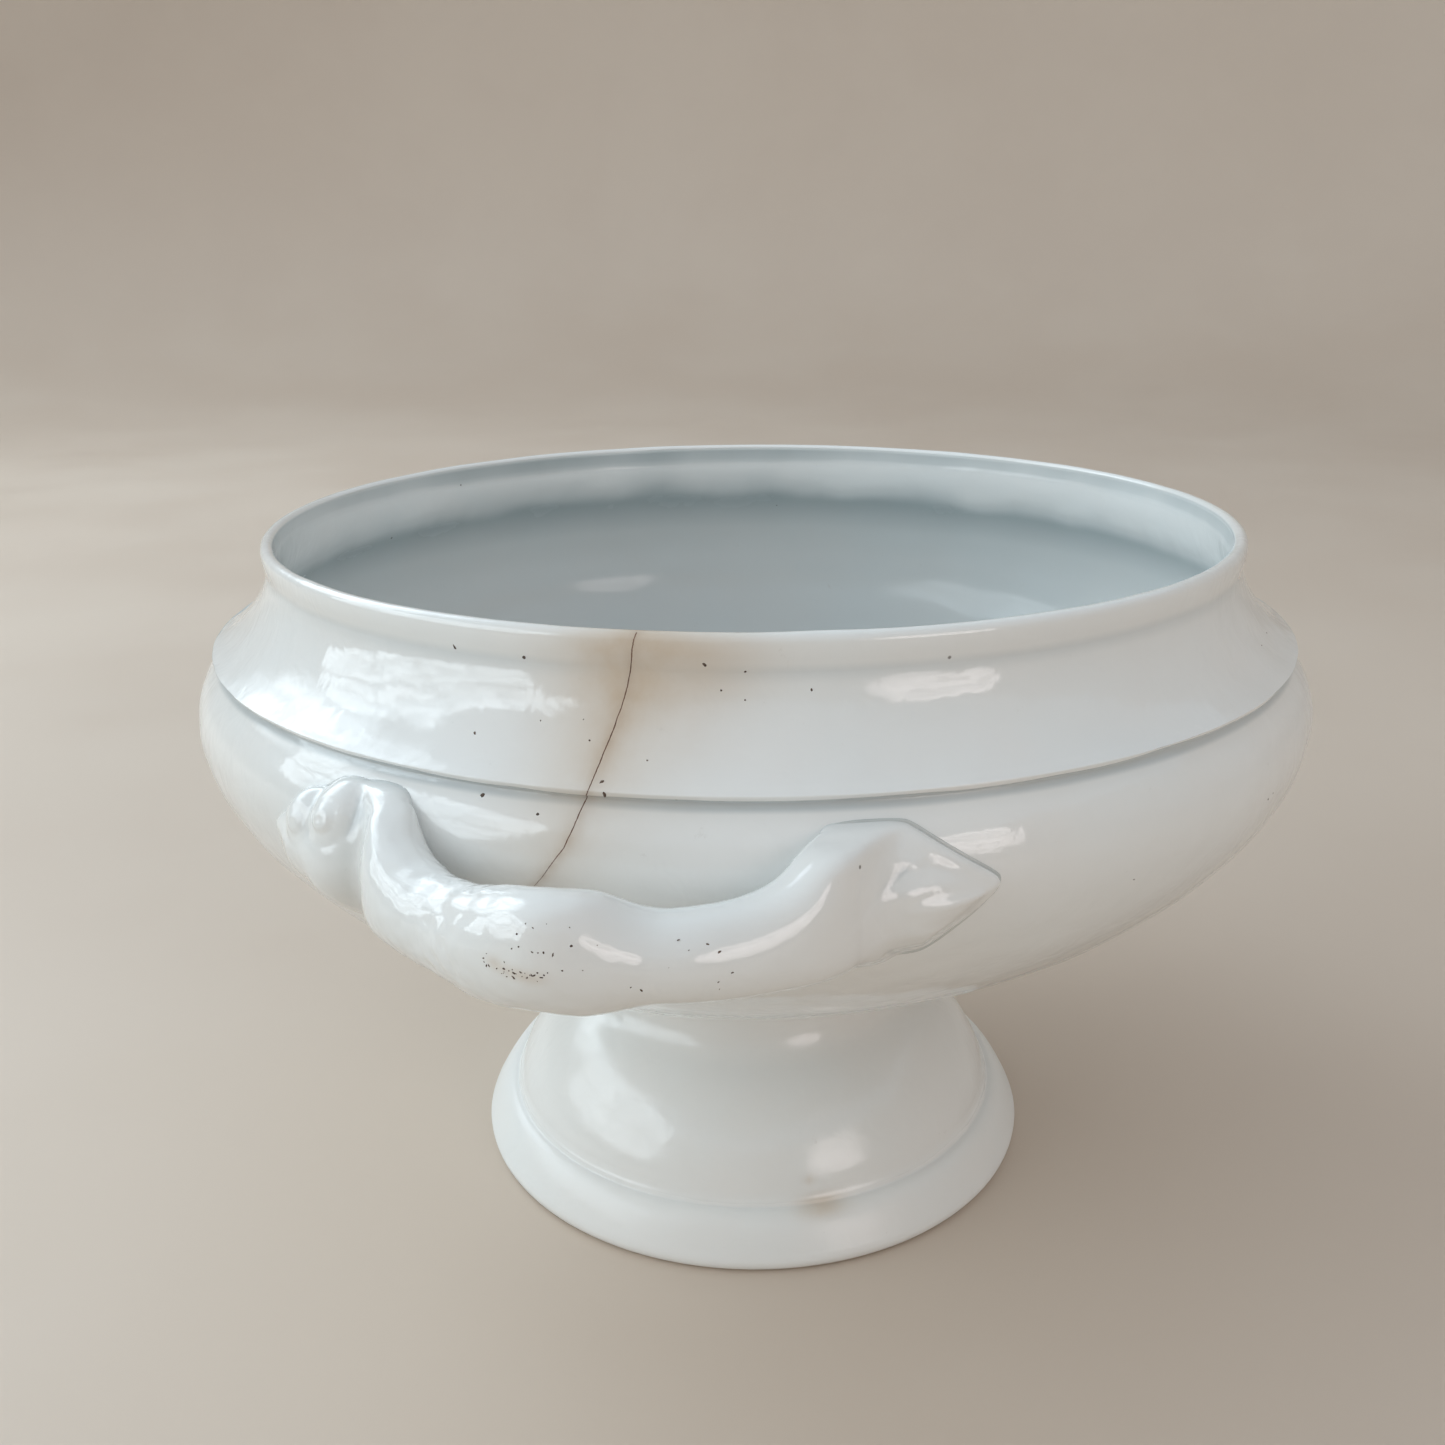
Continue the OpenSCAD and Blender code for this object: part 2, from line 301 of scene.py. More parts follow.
def glaze(name, stained=(), bare=False, speck_share=0.35, inside=False):
    """Glossy porcelain glaze: faint tint changes, blue-grey where it pools that also paints shade into
    hollows, painted shade on the bowl's inside when asked, iron specks and a wavy skin.
    """
    n = MaterialNodes(name)
    cloud = n.between(n.noise(18.0, 3.0, 0.55), 0.35, 0.68)
    colour = n.mix(n.maths("MULTIPLY", cloud, 0.55), GLAZE, GLAZE_WARM)
    # blue-grey in hollows: pooled glaze and painted shade
    pool_and_shade = n.between(n.attribute("pool_and_shade"), 0.05, 0.75)
    colour = n.mix(n.maths("MULTIPLY", pool_and_shade, 0.62), colour, GLAZE_POOL_SHADE)
    if inside:
        # the bowl's inside is painted darker blue-grey as shade
        colour = n.mix(n.maths("MULTIPLY", n.attribute("inside"), 0.9), colour, GLAZE_INSIDE_SHADE)
    for key, tint, strength in stained:
        patchy = n.between(n.noise(60.0, 5.0, 0.62), 0.30, 0.62, 0.75, 1.0)
        stain = n.maths("MULTIPLY", n.attribute(key), strength)
        colour = n.mix(n.maths("MULTIPLY", stain, patchy, clamp=True), colour, tint)
    # small iron specks: a few of many small cells carry a dot
    number, from_middle = n.cells(SPECK_CELLS)
    least = 1.0 - 0.06 * speck_share
    chosen = n.between(number, least, least + 0.004)
    dot = n.maths("MULTIPLY", chosen, n.between(from_middle, DOT_FROM, DOT_TO, 1.0, 0.0))
    colour = n.mix(n.maths("MULTIPLY", dot, 0.75), colour, IRON)
    # pale dirt in the skin
    dirt = n.between(n.noise(260.0, 4.0, 0.7), 0.66, 0.78, 0.0, 0.16)
    n.put(n.shader.inputs["Base Color"], n.mix(dirt, colour, DIRT))

    n.shader.inputs["IOR"].default_value = 1.52
    n.shader.inputs["Specular IOR Level"].default_value = SPECULAR
    n.shader.inputs["Coat Weight"].default_value = COAT
    n.shader.inputs["Coat Roughness"].default_value = 0.03
    n.shader.inputs["Coat IOR"].default_value = 1.5
    rough = n.between(n.noise(45.0, 4.0, 0.6), 0.3, 0.75, 0.045, 0.12)
    if bare:
        rough = n.maths("ADD", rough, n.maths("MULTIPLY", n.attribute("bare"), 0.55), clamp=True)
        rough = n.maths("ADD", rough, n.maths("MULTIPLY", n.attribute("dull"), 0.30), clamp=True)
    if inside:
        # the bowl's inside is duller
        inside_and_shade = n.attribute("inside")
        rough = n.maths("ADD", rough, n.maths("MULTIPLY", inside_and_shade, 0.22), clamp=True)
        n.put(n.shader.inputs["Coat Weight"], n.between(inside_and_shade, 0.0, 0.5, COAT, 0.02))
        n.put(n.shader.inputs["Specular IOR Level"], n.between(inside_and_shade, 0.0, 0.5, SPECULAR, 0.22))
    n.put(n.shader.inputs["Roughness"], rough)

    wavy = n.noise(48.0, 2.0, 0.5)
    ripple = n.noise(150.0, 2.0, 0.5, 0.6)
    fine = n.noise(380.0, 2.0, 0.5, 0.4)
    height = n.maths("ADD", n.maths("MULTIPLY", wavy, 1.1), n.maths("MULTIPLY", ripple, 0.48))
    height = n.maths("ADD", height, n.maths("MULTIPLY", fine, 0.07))
    height = n.maths("SUBTRACT", height, n.maths("MULTIPLY", dot, 0.05))
    if inside:
        height = n.maths("MULTIPLY", height, n.between(inside_and_shade, 0.0, 0.4, 1.0, 0.08))
    n.put(n.shader.inputs["Normal"], n.bump(0.5, 0.6 * MM, height))
    return n.material


def plain_material(name, colour, variation, roughness, scale):
    """Two close colours in soft patches, with a faint grain."""
    n = MaterialNodes(name)
    patch = n.between(n.noise(scale, 4.0, 0.6), 0.3, 0.7)
    n.put(n.shader.inputs["Base Color"], n.mix(patch, colour, variation))
    rough = n.between(n.noise(scale * 2, 3.0), 0.3, 0.7, roughness * 0.8, roughness * 1.2)
    n.put(n.shader.inputs["Roughness"], rough)
    n.put(n.shader.inputs["Normal"], n.bump(0.3, 0.05 * MM, n.noise(scale * 6, 3.0)))
    return n.material


bowl_glaze = glaze("bowl_glaze", stained=(("stain", TAN, 1.0), ("rust", RUST, 0.5)), inside=True)
foot_glaze = glaze("foot_glaze", stained=(("stain", TAN, 0.7), ("bare", BISCUIT, 0.9)), bare=True)
handle_glaze = glaze("handle_glaze", stained=(("stain", TAN, 0.45),), speck_share=0.8)
# the slip fillet and beads are darker blue-grey: partly glaze pooled in the joints, partly painted shade
# along the contact lines
slip_glaze_shade = plain_material("slip_glaze_shade", rgb(0.50, 0.54, 0.54), rgb(0.60, 0.62, 0.60), 0.12, 60.0)
iron_material = plain_material("iron_specks", IRON, rgb(0.13, 0.08, 0.05), 0.25, 300.0)
crack_material = plain_material("crack_line", rgb(0.11, 0.055, 0.035), rgb(0.20, 0.11, 0.07), 0.6, 400.0)

# ---------------------------------------------------------------- bowl
lip_centre = np.array([RIM_R - LIP_R, BOWL_H - LIP_R])
cove_top = np.array([RIM_R - 0.7, BOWL_H - 4.6])
step_edge = np.array([STEP_R, STEP_Z])
belly_start = np.array([STEP_R - STEP_DEPTH, BELLY_TOP_Z])
cove = curve(cove_top, cove_top + [-0.9, -6.5], step_edge - [7.5, -3.4], step_edge, 54)
belly = curve(belly_start, belly_start + [23.9, -18.6], [BELLY_END_R + 56.7, BELLY_END_Z + 7.2],
              [BELLY_END_R, BELLY_END_Z], 120)
inner_top = np.array([RIM_R - LIP_T, BOWL_H - LIP_R - 1])
inner_mid = np.array([STEP_R - WALL_T - 1, STEP_Z - 3])
inner_low = np.array([BELLY_END_R - 2.5, BELLY_END_Z + WALL_T + 1.4])
inner_cove = curve(inner_top, [RIM_R - LIP_T - 1, BOWL_H - 12], [STEP_R - WALL_T - 7.5, STEP_Z + 6],
                   inner_mid, 24)
inner_belly = curve(inner_mid, [STEP_R - WALL_T + 19.5, STEP_Z - 19], [BELLY_END_R + 52, BELLY_END_Z + 13.4],
                    inner_low, 56)
inner_floor = curve(inner_low, [BELLY_END_R - 18, BELLY_END_Z + WALL_T], [20, SEAT_Z + FLOOR_T],
                    [0, SEAT_Z + FLOOR_T], 24)


def eased(line, reach):
    """The line with its bends spread over a reach to each side. Its ends stay where they are."""
    along = distance_along(line)
    room = np.minimum(reach, np.minimum(along, along[-1] - along))
    total, weight = np.zeros_like(line), 0.0
    for shift in np.linspace(-1, 1, 21):
        share = (1 - shift * shift) ** 2
        at = along + shift * room
        total += share * np.c_[np.interp(at, along, line[:, 0]), np.interp(at, along, line[:, 1])]
        weight += share
    return total / weight


def belly_r(z):
    """Radius of the belly at a height."""
    return np.interp(z, belly[::-1, 1], belly[::-1, 0])


def rounded(points, radius, steps=5):
    """The line with its inner corners cut by small curves of about that radius."""
    out = [points[0]]
    for a, b, c in zip(points, points[1:], points[2:]):
        p, q = a - b, c - b
        lp, lq = np.linalg.norm(p), np.linalg.norm(q)
        cut = min(radius, lp * 0.45, lq * 0.45)
        p, q = b + p / lp * cut, b + q / lq * cut
        for t in np.linspace(0, 1, steps):
            out.append(p * (1 - t) ** 2 + 2 * b * t * (1 - t) + q * t * t)
    out.append(points[-1])
    return np.array(out)


step_corner = rounded(np.array([cove[-1] - [0.9, -0.42], step_edge, step_edge - [0.35, 1.0],
                                belly_start + [0.1, 0.1], belly[2]]), 0.42)
lip = arc(lip_centre, LIP_R, 0, 180, 20)
rim_side = curve(cove[6], cove[6] + [0.25, 1.9], lip_centre + [LIP_R, -2.2], lip_centre + [LIP_R, 0], 14)
inner_line = eased(join(inner_cove, inner_belly, inner_floor), 24.0)
seat = np.c_[np.linspace(8, BELLY_END_R - 1.5, 12), np.full(12, SEAT_Z)]
bowl_profile = join([[0, SEAT_Z]], seat, belly[3:][::-1], step_corner[::-1], cove[7:-4][::-1], rim_side, lip,
                    inner_line)
outer_line = join(belly[3:][::-1], step_corner[::-1], cove[7:-4][::-1], rim_side, lip[:11])

# The crack from the lip down: azimuths in degrees and heights
CRACK_AZ = np.array([1.9, 1.7, 1.6, 1.45, 1.19, 0.81, 0.37, -0.21,
                     -0.44, -0.51, -0.97, -1.49, -2.0, -2.77, -3.87, -4.7])
CRACK_Z = np.array([166.3, 164.8, 163.4, 160.8, 157.3, 153.6, 150.7, 146.9,
                    144.3, 142.6, 139.9, 136.4, 133.5, 131.0, 127.6, 125.5])


def outer_r(z):
    """Radius of the bowl's outer skin at a height."""
    return np.interp(z, outer_line[:, 1], outer_line[:, 0])


def bowl_displace(p):
    """The bowl is a little oval, and its skin a little wavy, least at the rim."""
    theta = np.arctan2(p[:, 1], p[:, 0])
    oval = -0.32 + 0.16 * np.sin(2 * theta + 0.7) + 0.07 * np.sin(3 * theta + 1.9)
    away = smooth(np.hypot(p[:, 0], p[:, 1]) / 60)
    radial = oval * away
    rim = smooth((p[:, 2] - 150) / 14)
    skin = waves(p, 0.085, 14, 46, 3) + waves(p, 0.022, 6, 12, 4)
    return radial + skin * (1 - 0.6 * rim) - 0.12 * rim


def bowl_extra(p):
    """Where the bowl is stained beside its crack, and where its inside is, with how much shade is painted
    there.
    """
    theta = np.degrees(np.arctan2(p[:, 1], p[:, 0]))
    r = np.hypot(p[:, 0], p[:, 1])
    outside = smooth((r - (outer_r(p[:, 2]) - 3.4)) / 2.0) * (p[:, 2] > 100)
    centre = np.interp(p[:, 2], CRACK_Z[::-1], CRACK_AZ[::-1])
    off = (theta - centre) * np.pi / 180 * r
    down = np.interp(p[:, 2], [118, 128, 140, 142.4, 143, 150, 158, 163, 166.5],
                     [0.10, 0.34, 0.40, 0.44, 0.48, 0.62, 0.85, 0.95, 0.7])
    broad = np.where(off < 0, np.exp(-(np.abs(off) / 13.0) ** 2), np.exp(-(np.abs(off + 1) / 16.0) ** 2))
    far_right = 0.18 * np.exp(-((off - 16) / 9.0) ** 2) * smooth((p[:, 2] - 150) / 8)
    near = 0.5 * np.exp(-(np.abs(off) / 2.2))
    stain = outside * (down * (broad * 0.85 + near) + down * far_right)
    rust = outside * np.exp(-(np.abs(off) / 1.0)) * 0.55
    # the inside of the wall, weighted by height for the painted shade there: most under the rim, less lower
    # down
    inside_and_shade = smooth((outer_r(p[:, 2]) - 3.0 - r) / 1.5) * (p[:, 2] > SEAT_Z + 4)
    inside_and_shade *= np.interp(p[:, 2], [70, 105, 128, 138, 150, 160], [0.17, 0.34, 0.29, 0.36, 0.95, 1.1])
    return {"stain": np.clip(stain * 1.25, 0, 1), "rust": rust, "inside": inside_and_shade}


# finer on the side that the photo shows, where the stain is
FINE_HALF = math.radians(30)
fine_angles = np.linspace(-FINE_HALF, FINE_HALF, 98, endpoint=False)
coarse_angles = np.linspace(FINE_HALF, 2 * math.pi - FINE_HALF, 184, endpoint=False)
bowl = lathe("bowl", bowl_profile, np.r_[fine_angles, coarse_angles], bowl_glaze, bowl_displace, bowl_extra)
finish_piece(bowl, "bowl_glaze", "bowl_body")

# ---------------------------------------------------------------- pedestal foot
groove = np.array([RIDGE_R + 0.9, RIDGE_Z - 1.7])
crest = np.array([NECK_R + 3.5, NECK_Z - 10])
neck = np.array([NECK_R, NECK_Z])
collar = np.array([COLLAR_R, PED_TOP - 0.8])
resting = FOOT_R - FOOT_BEAD - FOOT_RING_W  # inner radius of the resting ring
foot_rim = join([[FOOT_R - FOOT_BEAD, 0.0]],
                arc([FOOT_R - FOOT_BEAD, FOOT_BEAD], FOOT_BEAD, -88, 18, 16))
skirt = curve([FOOT_R - 0.25, FOOT_BEAD + 1.2], [FOOT_R - 2.2, 7.4], groove + [3.4, -0.6],
              groove + [0.3, 0.02], 40)[1:]
ridge = rounded(np.array([groove + [0.3, 0.02], groove + [-0.35, 0.1], [RIDGE_R + 0.1, RIDGE_Z - 0.5],
                          [RIDGE_R - 0.25, RIDGE_Z], [RIDGE_R - 0.65, RIDGE_Z + 0.9]]), 0.4)[1:-1]
dome = eased(join(
    curve([RIDGE_R - 0.6, RIDGE_Z + 0.6], [RIDGE_R - 3, RIDGE_Z + 11], crest + [7, -2.4], crest, 60),
    curve(crest, crest + [-2.4, 2.6], neck - [0, 5], neck, 24),
    curve(neck, neck + [0, 8], [COLLAR_R - 8, PED_TOP - 3], collar, 36)), 8.0)[1:]
inner_neck = NECK_R - FOOT_WALL
foot_inside = join(
    curve([inner_neck + 3, PED_TOP], [inner_neck, PED_TOP - 10], [inner_neck, NECK_Z + 8],
          [inner_neck, NECK_Z], 20),
    curve([inner_neck, NECK_Z], [inner_neck, NECK_Z - 14], [RIDGE_R - 9, RIDGE_Z + 16],
          [RIDGE_R - 7, RIDGE_Z - 3], 44)[1:],
    rounded(np.array([[RIDGE_R - 7, RIDGE_Z - 3], [resting - 0.6, 3.2], [resting + 0.3, 0.0],
                      [FOOT_R - FOOT_BEAD - 1.0, 0.0]]), 1.2, 6)[1:])
foot_profile = join(foot_rim, skirt, ridge, dome, [[COLLAR_R, PED_TOP]], foot_inside)


def foot_displace(p):
    """The foot is a little oval and wavy, but rests flat."""
    theta = np.arctan2(p[:, 1], p[:, 0])
    lifted = smooth(p[:, 2] / 4)
    return lifted * (-0.14 + 0.08 * np.sin(2 * theta + 2.1)) + lifted * waves(p, 0.035, 12, 36, 8) - 0.03


def foot_extra(p):
    """A tan mark and a dot on the ridge, bare clay on the resting ring, and a duller rim."""
    theta = np.degrees(np.arctan2(p[:, 1], p[:, 0]))
    r = np.hypot(p[:, 0], p[:, 1])
    spot = np.exp(-(((theta - 26) / 5.0) ** 2 + ((p[:, 2] - 12.4) / 1.8) ** 2))
    spot += 0.5 * np.exp(-(((theta - 24) / 1.2) ** 2 + ((p[:, 2] - 17.5) / 1.0) ** 2))
    bare = smooth((1.0 - p[:, 2]) / 0.7)
    dull = 0.4 + 0.6 * smooth((RIDGE_Z + 0.5 - p[:, 2]) / 3.0)
    return {"stain": np.clip(spot, 0, 1) * (r > 50), "bare": bare, "dull": dull}


foot = lathe("pedestal", foot_profile, around(300), foot_glaze, foot_displace, foot_extra, 0.25)
finish_piece(foot, "foot_glaze", "pedestal_foot")

# Fillet of slip and glaze where the pedestal meets the bowl; its darker blue-grey is partly pooled glaze and
# partly painted shade in the joint
seat_bead = join(
    [[COLLAR_R - 3.0, PED_TOP + 0.1], [COLLAR_R - 0.6, PED_TOP - 0.5]],
    curve([COLLAR_R + 0.1, PED_TOP - 1.2], [COLLAR_R + 0.2, PED_TOP - 0.1], [COLLAR_R + 0.8, PED_TOP + 0.7],
          [COLLAR_R + 2.6, SEAT_Z + 0.55], 10),
    [[COLLAR_R + 1.0, SEAT_Z + 0.9], [COLLAR_R - 3.0, SEAT_Z + 0.3]])
fillet = lathe("foot_joint_fillet", seat_bead, around(240), slip_glaze_shade)
finish_piece(fillet, "joint_slip", "foot_joint_slip")

# ---------------------------------------------------------------- handles
ARC_MM = belly_r(LEAF_Z) * math.pi / 180  # mm along the wall for each degree, at the leaves' height
LEAF_TOP, LEAF_BOTTOM = 13.3, -13.6  # how far the arms reach above and below the leaves' centre
ROOT_SLIM, CURLED_SLIM = 2.4, 3.2  # how much slimmer each arm is where it leaves its leaf
ARM_SWAY = 1.6  # how far both arms lean to +Y
EMBED = 1.2  # how far a handle reaches into the wall
CELL = 0.6  # size of the grid cells that a handle's skin is drawn on

# Half outline of a leaf on the wall: u away from the bar, v up, from the leaf's own centre
OUTLINE = np.array([
    [-13.6, 8.0], [-11.6, 12.2], [-8.4, 13.2], [1.6, 13.1], [3.4, 12.4], [5.9, 10.8], [11.4, 7.2],
    [17.2, 3.6], [18.1, 2.4], [17.4, 0.6], [15.2, -2.0], [11.0, -6.2], [7.0, -10.2], [5.0, -11.2],
    [0.9, -11.3], [-0.7, -12.6], [-3.2, -13.9], [-6.2, -13.9], [-10.0, -12.6], [-13.2, -9.0], [-14.2, -2.0]])
for _ in range(2):  # its corners are rounded off
    after = np.roll(OUTLINE, -1, axis=0)
    OUTLINE = np.stack([0.75 * OUTLINE + 0.25 * after, 0.25 * OUTLINE + 0.75 * after], axis=1).reshape(-1, 2)

# Relief on the plain leaf: a line of points (u, v), height (negative for a groove) and width
VEINS = [
    ([[-2, 3.2], [5, 4.6], [13, 3.2]], 0.22, 1.3),
    ([[1, 0.8], [7, 1.4], [15, 1.6]], 0.20, 1.1),
    ([[3, 2.9], [9, 3.0], [15, 2.4]], -0.14, 0.8),
    ([[3, -2.4], [9, -2.2], [14, -0.4]], -0.12, 1.1),
    ([[-7.5, 2.4], [-3.5, 5.2], [0.5, 7.2]], -0.30, 1.1),
    ([[0.9, -11.0], [-1.5, -8.0]], -0.55, 1.2)]
# Scrolls of the curled leaf: centre (u, v, height), radii, and the radius of the ring on top
LOBES = [
    ((-0.6, 8.8, 1.8), (5.0, 5.2, 5.2), 2.6),
    ((7.2, 6.2, 1.4), (4.6, 5.0, 4.6), 2.3)]
# Lumps that swell the curled leaf: centre and radii
SWELLS = [((7.0, -2.6, 0.4), (8.0, 7.0, 4.8)), ((-1.2, -2.4, 0.8), (7.0, 9.6, 6.6))]


def segment_distance(p, line, closed=False):
    """Distance from each point to a line of points."""
    best = np.full(len(p), 1e9)
    line = np.vstack([line, line[:1]]) if closed else line
    for a, b in zip(line, line[1:]):
        d = b - a
        t = np.clip(((p - a) @ d) / (d @ d), 0, 1)
        away = p - a - t[:, None] * d
        best = np.minimum(best, (away * away).sum(1))
    return np.sqrt(best)


def outline_distance(p):
    """Distance to the leaf's outline, negative inside it."""
    closed = np.vstack([OUTLINE, OUTLINE[:1]])
    inside = np.zeros(len(p), bool)
    for a, b in zip(closed, closed[1:]):
        crosses = (a[1] > p[:, 1]) != (b[1] > p[:, 1])
        if a[1] != b[1]:
            inside ^= crosses & (p[:, 0] < a[0] + (p[:, 1] - a[1]) * (b[0] - a[0]) / (b[1] - a[1]))
    distance = segment_distance(p, OUTLINE, closed=True)
    return np.where(inside, -distance, distance)


def soft_min(a, b, k):
    """The lesser of two fields, run together over a distance of about k."""
    t = np.clip(0.5 + 0.5 * (b - a) / k, 0, 1)
    return b * (1 - t) + a * t - k * t * (1 - t)


def soft_max(a, b, k):
    """The greater of two fields, run together in the same way."""
    return -soft_min(-a, -b, k)


def leaf_relief(uv):
    """Height of the plain leaf's veins, and of its face's slant, over a level face."""
    relief = np.clip(-0.20 * (uv[:, 1] - 7.0), 0.0, 2.2)
    for line, amount, width in VEINS:
        relief += amount * np.exp(-(segment_distance(uv, np.array(line, float)) / width) ** 2)
    return relief


def ball(uv, height, centre, radii):
    """Distance to a rounded lump on the wall, and how far each point is from its middle."""
    off = np.c_[uv[:, 0] - centre[0], uv[:, 1] - centre[1], height - centre[2]]
    return (np.sqrt(((off / radii) ** 2).sum(1)) - 1) * min(radii), off


def curled(leaf, uv, height):
    """The leaf swollen, with two scrolls on its upper edge."""
    for centre, radii in SWELLS:
        leaf = soft_min(leaf, ball(uv, height, centre, radii)[0], 4.5)
    for centre, radii, ring in LOBES:
        lobe, off = ball(uv, height, centre, radii)
        away = np.hypot(off[:, 0], off[:, 1])
        grooves = 0.38 * np.exp(-((away - ring) / 0.8) ** 2) + 0.5 * np.exp(-(away / 1.3) ** 2)
        leaf = soft_min(leaf, lobe + smooth(off[:, 2] / 2.0) * grooves, 1.5)
    return leaf


# Middle line of one arm, from inside the wall at its leaf to the middle of the bar
PATH = [np.array([belly_r(LEAF_Z) * math.cos(math.radians(LEAF_ANGLE)),
                  belly_r(LEAF_Z) * math.sin(math.radians(LEAF_ANGLE)) - 6.0, BAR_Z + 1.5]),
        np.array([BAR_REACH - 19.5, 42.0, BAR_Z - 4.0]),
        np.array([BAR_REACH - 5.6, 16.4, BAR_Z - 6.6]),
        np.array([BAR_REACH, 0.0, BAR_Z])]


def path_way(t):
    """Direction of the path at t, not of unit length."""
    a, b, c, d = PATH
    t = t[:, None]
    return 3 * (b - a) * (1 - t) ** 2 + 6 * (c - b) * t * (1 - t) + 3 * (d - c) * t * t


def arm_field(q, y):
    """Distance to the arm and bar, which swells to a knuckle in the middle and flares to its root."""
    samples = np.linspace(0, 1, 49)
    best, t = np.full(len(q), 1e18), np.zeros(len(q))
    for s, centre in zip(samples, bezier(*PATH, samples)):
        away = ((q - centre) ** 2).sum(1)
        near = away < best
        best[near], t[near] = away[near], s
    for _ in range(3):
        way = path_way(t)
        t = np.clip(t + ((q - bezier(*PATH, t)) * way).sum(1) / (way * way).sum(1), 0, 1)
    way = path_way(t)
    way /= np.linalg.norm(way, axis=1)[:, None]
    side = np.cross(way, [0.0, 0.0, 1.0])
    side /= np.linalg.norm(side, axis=1)[:, None]
    up = np.cross(side, way)
    slim = np.where(y > 0, ROOT_SLIM, CURLED_SLIM) * (1 - smooth(t / 0.42))
    off = q - bezier(*PATH, t) - side * slim[:, None]
    knuckle = KNUCKLE * np.where(y > 0, smooth((17 - y) / 12), smooth((27 + y) / 22))
    over = (off * up).sum(1)
    above = 0.45 * np.exp(-((y - 5.0) / 5.0) ** 2) - 0.15 * np.exp(-((y + 3.0) / 4.0) ** 2)
    bump = np.where(over > 0, above, 0.35 * np.exp(-((y - 1.0) / 6.0) ** 2))
    # the plain leaf's arm runs up to the leaf's top in a slope
    bump += np.where((over > 0) & (y > 0), 2.4 * np.exp(-((t - 0.2) / 0.13) ** 2), 0.0)
    half_w = BAR_R - slim + 0.4 * np.where(y > 0, KNUCKLE * smooth((44 - y) / 44), knuckle)
    half_h = BAR_R + 8.0 * (1 - t) ** 3 + knuckle + bump * np.minimum(1, np.abs(over) / 4)
    power = 2.0 + 1.3 * (1 - smooth(t / 0.55))
    a, b = np.abs((off * side).sum(1)) / half_w, np.abs(over) / half_h
    ratio = (a ** power + b ** power) ** (1 / power)
    return (ratio - 1) * np.minimum(half_w, half_h)


def folded(y, lean):
    """Distance from the middle plane, rounded off near it so that the two halves meet softly."""
    return np.sqrt(lean * lean + (3.0 * np.exp(-(y / 8) ** 2)) ** 2)


def handle_field(p):
    """Negative inside the +X handle: two leaves on the wall with the bar between them, run together."""
    x, y, z = p.T
    out = folded(y, y)
    uv = np.c_[(np.degrees(np.arctan2(out, x)) - LEAF_ANGLE) * ARC_MM, z - LEAF_Z]
    height = np.hypot(x, out) - belly_r(z)
    lobed = (y < 0) * 1.0  # 1 on the curled leaf's side
    edge = outline_distance(uv)
    rim = 1.0 + 0.9 * smooth((uv[:, 1] + 7) / 10)
    relief = (1 - lobed) * smooth((-edge - 0.4) / 5.0) * leaf_relief(uv)
    top = rim + 2.3 * smooth((-edge - 0.2) / 9.0) + relief
    leaf = soft_max(edge, height - top, 1.6)
    leaf = np.where(y < 0, curled(leaf, uv, height), leaf)
    sway = y - ARM_SWAY * smooth((np.abs(y) - 10) / 16)
    arm = arm_field(np.c_[x, folded(y, sway), z], y)
    arm = soft_max(arm, uv[:, 1] - LEAF_TOP, 3.0)
    arm = soft_max(arm, LEAF_BOTTOM - uv[:, 1], 3.0)
    whole = soft_min(leaf, arm, 4.2)
    whole = soft_max(whole, uv[:, 1] - LEAF_TOP - 0.1 - 0.9 * lobed, 1.0)
    return np.maximum(whole, -height - EMBED)


def gradient(field, p, step=0.05):
    """How fast the field grows along each axis, from its values a step to each side."""
    out = np.empty_like(p)
    for i in range(3):
        offset = np.zeros(3)
        offset[i] = step
        out[:, i] = (field(p + offset) - field(p - offset)) / (2 * step)
    return out


def skin(field, low, high, cell):
    """Closed quad mesh of the surface where the field is zero, one point for each cell that it crosses."""
    counts = np.ceil((high - low) / cell).astype(int) + 1
    axes = [low[i] + cell * np.arange(counts[i]) for i in range(3)]
    grid = np.stack(np.meshgrid(*axes, indexing="ij"), axis=-1)
    value = field(grid.reshape(-1, 3)).reshape(counts)
    total, hits = np.zeros((counts.prod(), 3)), np.zeros(counts.prod())
    strides = np.array([counts[1] * counts[2], counts[2], 1])
    quads = []
    for axis in range(3):
        one, two = [i for i in range(3) if i != axis]
        first = value[tuple(slice(0, -1) if i == axis else slice(None) for i in range(3))]
        second = value[tuple(slice(1, None) if i == axis else slice(None) for i in range(3))]
        where = np.argwhere((first < 0) != (second < 0))
        a, b = first[tuple(where.T)], second[tuple(where.T)]
        point = low + cell * where
        point[:, axis] += cell * a / (a - b)
        home = where @ strides
        corners = []
        for d_one, d_two in ((0, 0), (1, 0), (1, 1), (0, 1)):
            corner = home - d_one * strides[one] - d_two * strides[two]
            np.add.at(total, corner, point)
            np.add.at(hits, corner, 1)
            corners.append(corner)
        quad = np.stack(corners, axis=1)
        flip = (a < 0) if axis != 1 else (a >= 0)
        quad[flip] = quad[flip][:, ::-1]
        quads.append(quad)
    used = np.flatnonzero(hits)
    renumber = np.full(len(hits), -1)
    renumber[used] = np.arange(len(used))
    return total[used] / hits[used][:, None], renumber[np.vstack(quads)]


